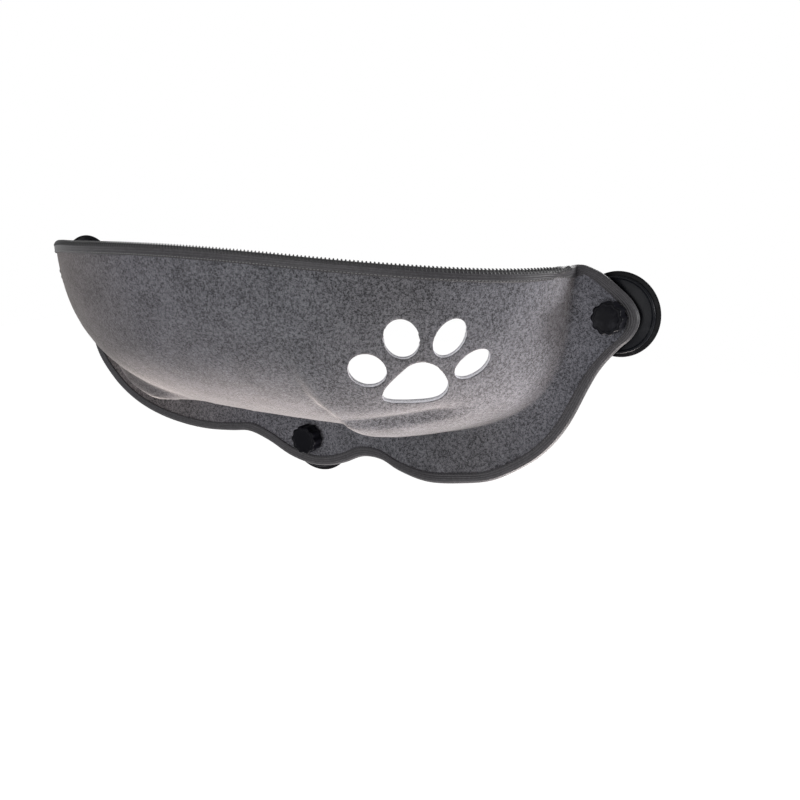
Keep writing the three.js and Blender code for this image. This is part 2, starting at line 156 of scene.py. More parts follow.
def outline_point(across, up):
    x = across * OUTLINE_REACH
    ear = FOLD_HEIGHT - (CORNER_DROP if x < 0 else 0)
    z = up * (ear if up > 0 else OUTLINE_DROP)
    fade = smooth_step(-z / OUTLINE_DROP / LEAN_FADE - 0.5)
    right = RIGHT_LEAN * bell(x - LOBE_CENTRE, LOBE_REACH)
    left = LEFT_LEAN * bell(x + LOBE_CENTRE, LOBE_REACH)
    return Vector((x, -STANDOFF - fade * (right + left), z))


def rounded(points, steps):
    """Points of the centripetal curve through the given ones, with the steps between two."""
    first = points[0] * 2 - points[1]
    last = points[-1] * 2 - points[-2]
    ends = [first, *points, last]
    curve = []
    for p0, p1, p2, p3 in zip(ends, ends[1:], ends[2:], ends[3:]):
        d0, d1, d2 = ((b - a).length ** 0.5 for a, b in ((p0, p1), (p1, p2), (p2, p3)))
        t1 = ((p1 - p0) / d0 - (p2 - p0) / (d0 + d1) + (p2 - p1) / d1) * d1
        t2 = ((p2 - p1) / d1 - (p3 - p1) / (d1 + d2) + (p3 - p2) / d2) * d1
        for step in range(steps):
            t = step / steps
            curve.append(
                p1 * (2 * t ** 3 - 3 * t ** 2 + 1) + t1 * (t ** 3 - 2 * t ** 2 + t)
                + p2 * (3 * t ** 2 - 2 * t ** 3) + t2 * (t ** 3 - t ** 2)
            )
    return [*curve, points[-1]]


def span_at(lengths, reach):
    """Index of the span that holds the reach, and the share of the way along that span."""
    index = min(len(lengths) - 2, max(0, bisect.bisect_right(lengths, reach) - 1))
    return index, (reach - lengths[index]) / (lengths[index + 1] - lengths[index])


class Path:
    """Chain of points, read by its share of the whole length."""

    def __init__(self, points):
        self.points = points
        self.lengths = [0.0]
        for a, b in zip(points, points[1:]):
            self.lengths.append(self.lengths[-1] + (b - a).length)
        self.length = self.lengths[-1]

    def at(self, share):
        index, part = span_at(self.lengths, min(1.0, max(0.0, share)) * self.length)
        return self.points[index].lerp(self.points[index + 1], part)


SWEEP_STEPS = 600
OUTLINE_STEPS = 24


def swept(point_at, end):
    """Path of the points from one end's angle, below zero, to the other."""
    return Path([
        point_at(end * (2 * step / SWEEP_STEPS - 1)) for step in range(SWEEP_STEPS + 1)
    ])


RIM = swept(rim_point, RIM_END)
FOLD = swept(fold_point, math.pi / 2)
OUTLINE = Path(rounded([outline_point(*share) for share in OUTLINE_SHARES], OUTLINE_STEPS))


def sag_at(x):
    return SAG_DROP * smooth_step((x - SAG_START) / SAG_RAMP) * bell(x - SAG_CENTRE, SAG_REACH)


def profile_points(along):
    """Control points of the sheet's profile from the flange's edge up to the rim."""
    edge, fold, rim = OUTLINE.at(along), FOLD.at(along), RIM.at(along)
    sag = sag_at(fold.x)
    fold.z -= sag / 2
    flange = edge - fold
    back = fold + flange.normalized() * min(FOLD_BEND, flange.length / 3)
    outward = Vector((rim.x - fold.x, rim.y - fold.y, 0))
    forward = fold + outward.normalized() * min(FOLD_BEND, outward.length / 3)
    taut = smooth_step(1 - min(along, 1 - along) / TAUT_SHARE)
    floor = []
    for angle in FLOOR_ANGLES:
        reach = math.sin(angle)
        climb = (1 - taut) * (1 - math.cos(angle)) + taut * reach
        floor.append(Vector((
            fold.x + (rim.x - fold.x) * reach,
            fold.y + (rim.y - fold.y) * reach,
            fold.z + (rim.z - fold.z) * climb - sag * math.cos(angle),
        )))
    return [edge, (edge + fold) / 2, back, fold, forward, *floor, rim]


# Knots of a cubic spline that starts and ends at its outer control points
SPANS = len(profile_points(0.5)) - 3
KNOTS = [0, 0, 0, *(step / SPANS for step in range(SPANS + 1)), 1, 1, 1]


def spline_point(points, up):
    """Point of the cubic B-spline over the control points, by de Boor's rule."""
    up = min(1 - 1e-9, max(0.0, up))
    span = bisect.bisect_right(KNOTS, up) - 1
    near = [points[span - 3 + index] for index in range(4)]
    for level in range(1, 4):
        for index in range(3, level - 1, -1):
            start = KNOTS[span - 3 + index]
            share = (up - start) / (KNOTS[span + 1 + index - level] - start)
            near[index] = near[index - 1].lerp(near[index], share)
    return near[3]


PROFILES = {}


def sheet_point(along, up):
    """Point on the middle of the felt, in metres."""
    key = round(along, 7)
    if key not in PROFILES:
        PROFILES[key] = profile_points(along)
    return spline_point(PROFILES[key], up) * MM


NORMAL_STEP = 0.002


def sheet_normal(along, up):
    """Unit vector out of the front of the felt."""
    near, far = max(0.0, along - NORMAL_STEP), min(1.0, along + NORMAL_STEP)
    low, high = max(0.0, up - NORMAL_STEP), min(1.0, up + NORMAL_STEP)
    beside = sheet_point(far, up) - sheet_point(near, up)
    above = sheet_point(along, high) - sheet_point(along, low)
    return beside.cross(above).normalized()


def spaced(share, zones):
    """Place on the sheet for a share of the faces; zones are pairs of end and face count."""
    faces = share * sum(count for _, count in zones)
    start = 0.0
    for end, count in zones:
        if faces <= count:
            break
        faces -= count
        start = end
    return start + (end - start) * min(1.0, faces / count)


def bent_grid(bm, columns, rows, place):
    """Grid of columns by rows, each vertex placed by its shares across and up."""
    made = bmesh.ops.create_grid(
        bm, x_segments=columns, y_segments=rows, size=0.5, calc_uvs=True
    )["verts"]
    for vert in made:
        vert.co = place(vert.co.x + 0.5, vert.co.y + 0.5)
    return made


def closed_up(bm, distance):
    """Merges what lies within the distance and turns the faces outwards."""
    bmesh.ops.remove_doubles(bm, verts=bm.verts, dist=distance)
    bmesh.ops.recalc_face_normals(bm, faces=bm.faces)
    return bm


def finished(bm, name, material, body, sharp=40):
    """Object at the origin made from the mesh, riding on its body."""
    mesh = bpy.data.meshes.new(name)
    for face in bm.faces:
        face.smooth = True
    bm.to_mesh(mesh)
    bm.free()
    mesh.set_sharp_from_angle(angle=math.radians(sharp))
    mesh.materials.append(material)
    piece = bpy.data.objects.new(name, mesh)
    bpy.context.scene.collection.objects.link(piece)
    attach(piece, body)
    return piece


# Materials

def node_group(name, sockets):
    """Shader node group with the named sockets, and its input and output nodes."""
    group = bpy.data.node_groups.new(name, "ShaderNodeTree")
    for label, way, kind, default in sockets:
        socket = group.interface.new_socket(name=label, in_out=way, socket_type=kind)
        if default is not None:
            socket.default_value = default
    return group, group.nodes.new("NodeGroupInput"), group.nodes.new("NodeGroupOutput")


def noise_node(tree, vector, scale, detail, roughness):
    node = tree.nodes.new("ShaderNodeTexNoise")
    node.inputs["Detail"].default_value = detail
    node.inputs["Roughness"].default_value = roughness
    tree.links.new(vector, node.inputs["Vector"])
    if isinstance(scale, float):
        node.inputs["Scale"].default_value = scale
    else:
        tree.links.new(scale, node.inputs["Scale"])
    return node.outputs["Fac"]


def math_node(tree, operation, first, second):
    node = tree.nodes.new("ShaderNodeMath")
    node.operation = operation
    for socket, value in zip(node.inputs, (first, second)):
        if isinstance(value, (int, float)):
            socket.default_value = value
        else:
            tree.links.new(value, socket)
    return node.outputs[0]


def mix_node(tree, factor, first, second, blend="MIX"):
    node = tree.nodes.new("ShaderNodeMix")
    node.data_type = "RGBA"
    node.blend_type = blend
    for name, value in (("Factor_Float", factor), ("A_Color", first), ("B_Color", second)):
        socket = next(item for item in node.inputs if item.identifier == name)
        if isinstance(value, (int, float, tuple)):
            socket.default_value = value
        else:
            tree.links.new(value, socket)
    return next(item for item in node.outputs if item.identifier == "Result_Color")


def ranged(tree, value, low, high, to_low=0.0, to_high=1.0):
    node = tree.nodes.new("ShaderNodeMapRange")
    node.interpolation_type = "SMOOTHSTEP"
    for socket, number in zip(node.inputs[1:5], (low, high, to_low, to_high)):
        socket.default_value = number
    tree.links.new(value, node.inputs[0])
    return node.outputs[0]


def fibre_group():
    """Heathered wool: fine light and dark fibres over softer patches."""
    group = bpy.data.node_groups.get("heathered_fibres")
    if group:
        return group
    group, inlet, outlet = node_group("heathered_fibres", [
        ("Vector", "INPUT", "NodeSocketVector", None),
        ("Fibre scale", "INPUT", "NodeSocketFloat", 400.0),
        ("Patch scale", "INPUT", "NodeSocketFloat", 60.0),
        ("Dark", "INPUT", "NodeSocketColor", (0.05, 0.05, 0.05, 1)),
        ("Light", "INPUT", "NodeSocketColor", (0.2, 0.2, 0.2, 1)),
        ("Color", "OUTPUT", "NodeSocketColor", None),
        ("Height", "OUTPUT", "NodeSocketFloat", None),
    ])
    vector = inlet.outputs["Vector"]
    fine = noise_node(group, vector, inlet.outputs["Fibre scale"], 3.0, 0.7)
    patch = noise_node(group, vector, inlet.outputs["Patch scale"], 2.0, 0.5)
    coarse_scale = math_node(group, "MULTIPLY", inlet.outputs["Fibre scale"], 0.41)
    coarse = noise_node(group, vector, coarse_scale, 2.0, 0.6)
    spread = ranged(group, fine, 0.4, 0.6)
    clumps = ranged(group, coarse, 0.4, 0.6)
    soft = ranged(group, patch, 0.3, 0.7)
    blend = math_node(group, "ADD", math_node(group, "MULTIPLY", spread, 0.5),
                      math_node(group, "MULTIPLY", clumps, 0.36))
    blend = math_node(group, "ADD", blend, math_node(group, "MULTIPLY", soft, 0.14))
    group.links.new(
        mix_node(group, blend, inlet.outputs["Dark"], inlet.outputs["Light"]),
        outlet.inputs["Color"],
    )
    height = math_node(group, "ADD", fine, math_node(group, "MULTIPLY", coarse, 0.8))
    group.links.new(height, outlet.inputs["Height"])
    return group


def grain_group():
    """Moulded grain: fine pits, faint smears and rubbed high spots."""
    group = bpy.data.node_groups.get("moulded_grain")
    if group:
        return group
    group, inlet, outlet = node_group("moulded_grain", [
        ("Vector", "INPUT", "NodeSocketVector", None),
        ("Grain scale", "INPUT", "NodeSocketFloat", 1800.0),
        ("Base", "INPUT", "NodeSocketColor", (0.02, 0.02, 0.02, 1)),
        ("Rubbed", "INPUT", "NodeSocketColor", (0.05, 0.05, 0.05, 1)),
        ("Roughness low", "INPUT", "NodeSocketFloat", 0.3),
        ("Roughness high", "INPUT", "NodeSocketFloat", 0.5),
        ("Color", "OUTPUT", "NodeSocketColor", None),
        ("Roughness", "OUTPUT", "NodeSocketFloat", None),
        ("Height", "OUTPUT", "NodeSocketFloat", None),
    ])
    vector = inlet.outputs["Vector"]
    grain = noise_node(group, vector, inlet.outputs["Grain scale"], 2.0, 0.5)
    smear = noise_node(group, vector, 45.0, 4.0, 0.65)
    rubbed = ranged(group, smear, 0.52, 0.75, 0.0, 0.8)
    group.links.new(
        mix_node(group, rubbed, inlet.outputs["Base"], inlet.outputs["Rubbed"]),
        outlet.inputs["Color"],
    )
    span = math_node(group, "SUBTRACT", inlet.outputs["Roughness high"],
                     inlet.outputs["Roughness low"])
    share = ranged(group, smear, 0.3, 0.7)
    rough = math_node(group, "ADD", inlet.outputs["Roughness low"],
                      math_node(group, "MULTIPLY", span, share))
    group.links.new(rough, outlet.inputs["Roughness"])
    group.links.new(grain, outlet.inputs["Height"])
    return group


def new_material(name):
    material = bpy.data.materials.new(name)
    material.use_nodes = True
    tree = material.node_tree
    return material, tree, tree.nodes["Principled BSDF"]


def object_vector(tree):
    return tree.nodes.new("ShaderNodeTexCoord").outputs["Object"]


def group_node(tree, group, values):
    node = tree.nodes.new("ShaderNodeGroup")
    node.node_tree = group
    for name, value in values.items():
        if isinstance(value, (int, float, tuple)):
            node.inputs[name].default_value = value
        else:
            tree.links.new(value, node.inputs[name])
    return node


def bump(tree, shader, height, strength, distance):
    node = tree.nodes.new("ShaderNodeBump")
    node.inputs["Strength"].default_value = strength
    node.inputs["Distance"].default_value = distance
    tree.links.new(height, node.inputs["Height"])
    tree.links.new(node.outputs["Normal"], shader.inputs["Normal"])


def rgba(color):
    return (*color, 1.0)


# Painted warm light towards the felt's left end and painted shade towards its right end, laid on
# as a tint across the felt: share of the way from its left end to its right one, and colour
PAINTED_LIGHT_TINTS = (
    (0.0, (1.0, 0.88, 0.82)), (0.16, (1.0, 0.93, 0.89)), (0.36, (0.98, 0.97, 1.0)),
    (0.7, (0.97, 0.98, 0.99)), (0.86, (0.98, 0.97, 0.96)), (1.0, (0.94, 0.95, 1.0)),
)
PAINTED_LIGHT_HALF = 0.34


def felt_material(settings):
    material, tree, shader = new_material("needle_felt")
    vector = object_vector(tree)
    fibres = group_node(tree, fibre_group(), {
        "Vector": vector,
        "Fibre scale": 1 / settings.fibre_size,
        "Patch scale": 1 / settings.patch_size,
        "Dark": rgba(settings.dark_color),
        "Light": rgba(settings.light_color),
    })
    # Tint by object x: painted warm light at the left end, painted shade at the right end
    across = tree.nodes.new("ShaderNodeSeparateXYZ")
    tree.links.new(vector, across.inputs[0])
    ramp = tree.nodes.new("ShaderNodeValToRGB")
    spread = ranged(tree, across.outputs["X"], -PAINTED_LIGHT_HALF, PAINTED_LIGHT_HALF)
    tree.links.new(spread, ramp.inputs[0])
    ramp.color_ramp.elements[0].color = rgba(PAINTED_LIGHT_TINTS[0][1])
    ramp.color_ramp.elements[1].color = rgba(PAINTED_LIGHT_TINTS[-1][1])
    for place, tint in PAINTED_LIGHT_TINTS[1:-1]:
        ramp.color_ramp.elements.new(place).color = rgba(tint)
    painted_light = mix_node(tree, 1.0, fibres.outputs["Color"], ramp.outputs["Color"], "MULTIPLY")
    tree.links.new(painted_light, shader.inputs["Base Color"])
    shader.inputs["Roughness"].default_value = 0.95
    shader.inputs["Specular IOR Level"].default_value = 0.15
    shader.inputs["Sheen Weight"].default_value = 0.5
    shader.inputs["Sheen Roughness"].default_value = 0.4
    shader.inputs["Sheen Tint"].default_value = (1.0, 0.93, 0.9, 1.0)
    bump(tree, shader, fibres.outputs["Height"], 0.5, 0.0006)
    return material


# Pale colour on the felt's cut walls: a painted highlight where light catches the cut fibres
def cut_edge_highlight_material(settings):
    material, tree, shader = new_material("cut_felt_edge_painted_highlight")
    fibres = group_node(tree, fibre_group(), {
        "Vector": object_vector(tree),
        "Fibre scale": 2 / settings.fibre_size,
        "Patch scale": 1 / settings.patch_size,
        "Dark": rgba([0.55 * value for value in settings.edge_highlight_color]),
        "Light": rgba(settings.edge_highlight_color),
    })
    tree.links.new(fibres.outputs["Color"], shader.inputs["Base Color"])
    shader.inputs["Roughness"].default_value = 1.0
    bump(tree, shader, fibres.outputs["Height"], 0.5, 0.0004)
    return material


# Width of one band of the wave texture at a scale of one
WAVE_WIDTH = 0.314


def tape_material(settings):
    material, tree, shader = new_material("binding_tape")
    weave = tree.nodes.new("ShaderNodeUVMap")
    weave.uv_map = "weave"
    fibres = group_node(tree, fibre_group(), {
        "Vector": object_vector(tree),
        "Fibre scale": 900.0,
        "Patch scale": 30.0,
        "Dark": rgba([0.62 * value for value in settings.color]),
        "Light": rgba([1.5 * value for value in settings.color]),
    })
    wave = tree.nodes.new("ShaderNodeTexWave")
    wave.wave_type = "BANDS"
    wave.bands_direction = "Y"
    wave.inputs["Scale"].default_value = WAVE_WIDTH / settings.groove_pitch
    wave.inputs["Distortion"].default_value = 0.3
    tree.links.new(weave.outputs["UV"], wave.inputs["Vector"])
    # Painted shade: the colour darkens in the grooves of the weave, where the bump sinks
    grooves = ranged(tree, wave.outputs["Fac"], 0.0, 0.5, 0.55, 1.0)
    tree.links.new(
        mix_node(tree, 1.0, fibres.outputs["Color"], grooves, "MULTIPLY"),
        shader.inputs["Base Color"],
    )
    shader.inputs["Roughness"].default_value = 0.5
    shader.inputs["Specular IOR Level"].default_value = 0.3
    shader.inputs["Sheen Weight"].default_value = 0.08
    shader.inputs["Sheen Roughness"].default_value = 0.4
    height = math_node(tree, "ADD", wave.outputs["Fac"],
                       math_node(tree, "MULTIPLY", fibres.outputs["Height"], 0.5))
    bump(tree, shader, height, 0.6, 0.0003)
    return material


def thread_material(name, color):
    material, tree, shader = new_material(name)
    fibres = group_node(tree, fibre_group(), {
        "Vector": object_vector(tree),
        "Fibre scale": 2600.0,
        "Patch scale": 200.0,
        "Dark": rgba([0.6 * value for value in color]),
        "Light": rgba([1.4 * value for value in color]),
    })
    tree.links.new(fibres.outputs["Color"], shader.inputs["Base Color"])
    shader.inputs["Roughness"].default_value = 0.55
    bump(tree, shader, fibres.outputs["Height"], 0.4, 0.0001)
    return material


def moulded_material(name, color, rubbed, rough, scale, depth=0.00003, metallic=0.0):
    """Plastic, rubber or metal; rough is its range of roughness and scale that of its grain."""
    material, tree, shader = new_material(name)
    grain = group_node(tree, grain_group(), {
        "Vector": object_vector(tree),
        "Grain scale": scale,
        "Base": rgba(color),
        "Rubbed": rgba(rubbed),
        "Roughness low": rough[0],
        "Roughness high": rough[1],
    })
    tree.links.new(grain.outputs["Color"], shader.inputs["Base Color"])
    tree.links.new(grain.outputs["Roughness"], shader.inputs["Roughness"])
    shader.inputs["Metallic"].default_value = metallic
    shader.inputs["Specular IOR Level"].default_value = 0.05
    bump(tree, shader, grain.outputs["Height"], 0.5, depth)
    return material


# Felt sheet

ROUND_POINTS = 120
ROUND_SHARES = [
    (math.cos(math.tau * step / ROUND_POINTS), math.sin(math.tau * step / ROUND_POINTS))
    for step in range(ROUND_POINTS)
]


def closed_curve(shares):
    """Points of the closed curve through the given shares."""
    wrap, steps = 3, 8
    ends = [Vector(pair) for pair in (*shares[-wrap:], *shares, *shares[:wrap])]
    return rounded(ends, steps)[wrap * steps:(wrap + len(shares)) * steps]


def settled(start, reading, goal, rounds):
    """Place on the flat grid, near the start, whose reading is the goal, by Newton's steps."""
    place, step = Vector(start), 0.001
    for _ in range(rounds):
        here = reading(place)
        along = (reading(place + Vector((step, 0))) - here) / step
        up = (reading(place + Vector((0, step))) - here) / step
        miss = goal - here
        area = along.x * up.y - along.y * up.x
        place.x += (miss.x * up.y - miss.y * up.x) / area
        place.y += (along.x * miss.y - along.y * miss.x) / area
    return place


# Farthest that a hole reaches from its middle, in shares along and up the sheet
HOLE_REACH = (0.08, 0.2)


class Cut:
    """Hole through the sheet: its frame on the felt and its outline in metres."""

    def __init__(self, place, width, height, tilt, shares):
        self.place = Vector(place)
        self.centre = sheet_point(*place)
        normal = sheet_normal(*place)
        self.across = Vector((0, 0, 1)).cross(normal).normalized()
        self.up = normal.cross(self.across)
        turn = Matrix.Rotation(math.radians(tilt), 3, "Z")
        edge = [
            (turn @ Vector((width / 2 * across, height / 2 * up, 0))).xy * MM
            for across, up in shares
        ]
        self.edge = Path([*edge, edge[0]])
        self.angles = sorted((math.atan2(point.y, point.x), point.length) for point in edge)

    def local(self, place):
        reach = sheet_point(*place) - self.centre
        return Vector((reach.dot(self.across), reach.dot(self.up)))

    def radius(self, point):
        angle = math.atan2(point.y, point.x)
        index = bisect.bisect_left(self.angles, (angle, 0))
        before, after = self.angles[index - 1], self.angles[index % len(self.angles)]
        span = (after[0] - before[0]) % math.tau
        share = (angle - before[0]) % math.tau / span if span else 0.0
        return before[1] + (after[1] - before[1]) * share

    def holds(self, place):
        if any(abs(a - b) > reach for a, b, reach in zip(place, self.place, HOLE_REACH)):
            return False
        point = self.local(place)
        return point.length < self.radius(point)


def place_on_flange(x, z):
    """Shares along and up the sheet whose point lies at x and z on the flange."""
    goal = Vector((x, z))
    columns, rows, flange_rows = 200, 100, 45

    def reading(place):
        return sheet_point(*place).xz

    nearest = min(
        ((along / columns, up / rows)
         for along in range(columns + 1) for up in range(flange_rows + 1)),
        key=lambda place: (reading(place) - goal).length,
    )
    return settled(nearest, reading, goal, rounds=6)


# Corner of the flat grid, which lies about the origin, from its middle
GRID_CORNER = Vector((0.5, 0.5))


def flat_place(point):
    """Shares along and up the sheet of a point of the flat grid."""
    return point.xy + GRID_CORNER


def in_turn(ring):
    """Vertices of a hole's edge in their order round it, from the lowest one to its right."""
    first = min(ring, key=lambda vert: vert.co.y)
    order, last = [first], None
    while True:
        here = order[-1]
        after = [
            other for edge in here.link_edges if edge.is_boundary
            for other in (edge.other_vert(here),) if other in ring and other is not last
        ]
        step = after[0] if len(order) > 1 else min(after, key=lambda vert: -vert.co.x)
        if step is first:
            break
        last = here
        order.append(step)
    return order


# Rings of vertices round a hole that are smoothed, how often, and the edges of the grid that
# stay as they are
SMOOTH_RINGS = 4
SMOOTH_ROUNDS = 12
SMOOTH_LIMIT = (0.495, 0.49)


def cut_hole(bm, cut):
    """Takes the faces inside the cut out of the flat grid and lays the edge on its outline."""
    inside = [face for face in bm.faces if cut.holds(flat_place(face.calc_center_median()))]
    around = {vert for face in inside for vert in face.verts}
    bmesh.ops.delete(bm, geom=inside, context="FACES")
    ring = {vert for vert in around if vert.is_valid}
    order = in_turn(ring)
    point = cut.local(flat_place(order[0].co))
    start = min(
        range(len(cut.edge.points) - 1),
        key=lambda index: (cut.edge.points[index].normalized() - point.normalized()).length,
    )
    start_share = cut.edge.lengths[start] / cut.edge.length
    for index, vert in enumerate(order):
        goal = cut.edge.at((start_share + index / len(order)) % 1)
        vert.co.xy = settled(flat_place(vert.co), cut.local, goal, rounds=5) - GRID_CORNER
    near = set(ring)
    for _ in range(SMOOTH_RINGS):
        near |= {edge.other_vert(vert) for vert in near for edge in vert.link_edges}
    loose = [
        vert for vert in near
        if not vert.is_boundary
        and abs(vert.co.x) < SMOOTH_LIMIT[0] and abs(vert.co.y) < SMOOTH_LIMIT[1]
    ]
    for _ in range(SMOOTH_ROUNDS):
        bmesh.ops.smooth_vert(
            bm, verts=loose, factor=0.5, use_axis_x=True, use_axis_y=True, use_axis_z=True
        )


# Faces along the sheet and up it, close together at the paw and the fold
COLUMNS = ((0.3, 70), (0.67, 96), (0.875, 180), (1, 64))
ROWS = ((0.22, 14), (0.46, 26), (0.64, 14), (0.935, 56), (1, 8))

# Wrinkles of the felt: places along and up the sheet, height, and reach above and below in
# millimetres
WRINKLES = (
    (((0.15, 0.5), (0.2, 0.51), (0.25, 0.52), (0.3, 0.53), (0.37, 0.535)), 12, 9, 9),
    (((0.585, 0.654), (0.62, 0.648), (0.655, 0.642), (0.69, 0.633), (0.7141, 0.625),
      (0.7431, 0.614), (0.7666, 0.606), (0.7874, 0.6), (0.83, 0.59)), -6, 15, 5),
)


# Room about a wrinkle's places, in shares along and up the sheet, outside which it is flat
WRINKLE_ROOM = Vector((0.05, 0.12))
# Share of a wrinkle's length over which it rises at each end
WRINKLE_TAPER = 0.4
WRINKLE_STEPS = 20


class Wrinkle:
    """Ridge or valley of the felt along a curve on the sheet."""

    def __init__(self, places, height, above, below):
        self.height, self.above, self.below = height * MM, above * MM, below * MM
        self.low = Vector(map(min, zip(*places))) - WRINKLE_ROOM
        self.high = Vector(map(max, zip(*places))) + WRINKLE_ROOM
        self.places = rounded([Vector(place) for place in places], WRINKLE_STEPS)
        self.points = [sheet_point(*place) for place in self.places]

    def at(self, place, point):
        if not (self.low.x < place.x < self.high.x and self.low.y < place.y < self.high.y):
            return 0.0
        reaches = [(point - middle).length for middle in self.points]
        nearest = min(range(len(reaches)), key=reaches.__getitem__)
        share = nearest / (len(reaches) - 1)
        taper = smooth_step(min(share, 1 - share) / WRINKLE_TAPER)
        width = self.above if place.y > self.places[nearest].y else self.below
        return self.height * taper * bell(reaches[nearest], width)


# Relief of the felt: how fast it grows in from the sheet's ends and edges, how deep the
# flange lies, the calm round each stud and the fade past it in metres, and the sizes of the
# swells with their weights and of the pits as scales of noise
END_GROWTH, EDGE_GROWTH = 40, 12
FLANGE_DEPTH = 0.03
CLAMP_CALM, CLAMP_FADE = 0.016, 0.014
SWELLS = ((22, 0.7), (70, 0.3))
PIT_SCALE = 300


def relief(place, point, wrinkles, settings):
    """Height of the felt's wrinkles and soft swells, calm under the tape and the clamps."""
    calm = min(
        smooth_step(min(place.y, 1 - place.y) * EDGE_GROWTH - 0.5),
        smooth_step(min(place.x, 1 - place.x) * END_GROWTH - 0.5),
    )
    if point.y > -FLANGE_DEPTH:
        for cup in CUPS.values():
            reach = (point.xz - cup.xz).length
            calm *= smooth_step((reach - CLAMP_CALM) / CLAMP_FADE)
    swell = sum(noise.noise(point * scale) * weight for scale, weight in SWELLS)
    pits = noise.noise(point * PIT_SCALE)
    folds = sum(wrinkle.at(place, point) for wrinkle in wrinkles)
    return calm * (swell * settings.swell + pits * settings.pits + folds)


class PERCH_OT_felt_sheet(bpy.types.Operator):
    """Bent felt sheet with its paw cut-out and stud holes"""
    bl_idname = "perch.felt_sheet"
    bl_label = "Felt sheet"

    def execute(self, context):
        settings = context.scene.perch_felt
        bm = bmesh.new()
        bent_grid(
            bm, sum(count for _, count in COLUMNS), sum(count for _, count in ROWS),
            lambda along, up: Vector((spaced(along, COLUMNS) - 0.5, spaced(up, ROWS) - 0.5, 0)),
        )
        stud_hole = 2 * STUD_HOLE_RADIUS
        cuts = [
            *(Cut(toe[:2], *toe[2:], ROUND_SHARES) for toe in TOES),
            Cut(PAD[:2], *PAD[2:], closed_curve(PAD_SHARES)),
            *(Cut(place_on_flange(cup.x, cup.z), stud_hole, stud_hole, 0, ROUND_SHARES)
              for cup in CUPS.values()),
        ]
        for cut in cuts:
            cut_hole(bm, cut)
        wrinkles = [Wrinkle(*wrinkle) for wrinkle in WRINKLES]
        for vert in bm.verts:
            place = flat_place(vert.co)
            point = sheet_point(*place)
            vert.co = point + sheet_normal(*place) * relief(place, point, wrinkles, settings)
        area = sum(face.calc_area() for face in bm.faces)
        bmesh.ops.recalc_face_normals(bm, faces=bm.faces)
        piece = finished(bm, "felt_panel", felt_material(settings), "perch", sharp=60)
        piece.data.materials.append(cut_edge_highlight_material(settings))
        wall = piece.modifiers.new("thickness", "SOLIDIFY")
        wall.thickness = settings.thickness
        wall.offset = 0
        wall.use_even_offset = True
        # The walls of the cuts take the second material, which carries the painted highlight
        wall.material_offset_rim = 1
        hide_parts("felt_sheet")
        context.scene["felt_area"] = area
        return {"FINISHED"}


# Binding tape

# Stations of the tape on each side of the sheet, in turn round its edge
STATIONS = {"bottom": 420, "right": 60, "rim": 330, "left": 60}
# Stations past each end of the rim that still carry ribs
RIB_OVERRUN = 24
# Reach in metres over which the tape's ways in, its normals and its points are eased
INWARD_EASE, NORMAL_EASE, POINT_EASE = 0.008, 0.006, 0.003
PROFILE_STEPS = 80
# Faces of the tape along the edge and over the fold
TAPE_FACES = (1100, 16)


